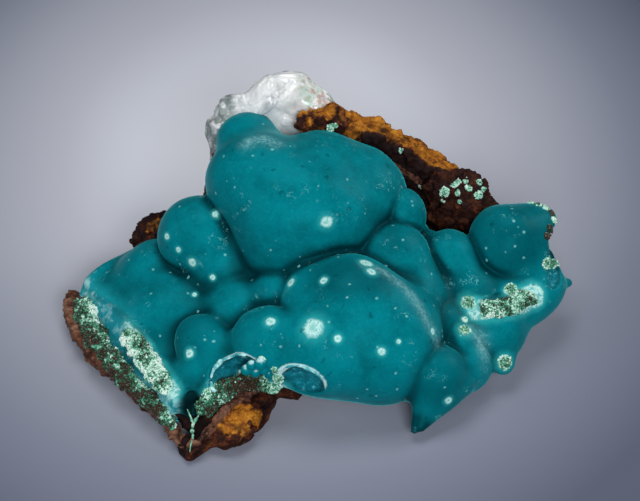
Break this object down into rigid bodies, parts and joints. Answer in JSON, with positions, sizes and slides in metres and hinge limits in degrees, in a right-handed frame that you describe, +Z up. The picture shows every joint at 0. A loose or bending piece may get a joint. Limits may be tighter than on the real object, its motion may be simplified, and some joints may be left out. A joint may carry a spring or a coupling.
{
  "type": "rosasite mineral specimen",
  "caption": "Teal botryoidal rosasite crust over a limonite slab and wall, with a white calcite mass and bands of green druse; rests on its flat matrix foot.",
  "frame": {"origin": "on the flat foot that the specimen rests on, under the front of the tall dome", "axes": "+Z up from the foot, +X to the right along the specimen's length as shown, +Y to the back"},
  "size_m": [0.0892, 0.0619, 0.0386],
  "materials": {
    "limonite": "rough, earthy, ochre to red-brown and near black",
    "rosasite": "smooth waxy satin with a soft pale bloom and small white rosettes",
    "calcite": "milky, part translucent, vitreous faces",
    "druse": "granular, sparkling, white to emerald grains"
  },
  "bodies": {
    "root": {"limonite_matrix": "limonite", "rosasite_crust": "rosasite", "calcite_mass": "calcite", "druse_left": "druse", "druse_front": "druse", "druse_groove": "druse", "druse_pocket": "druse"}
  },
  "joints": []
}
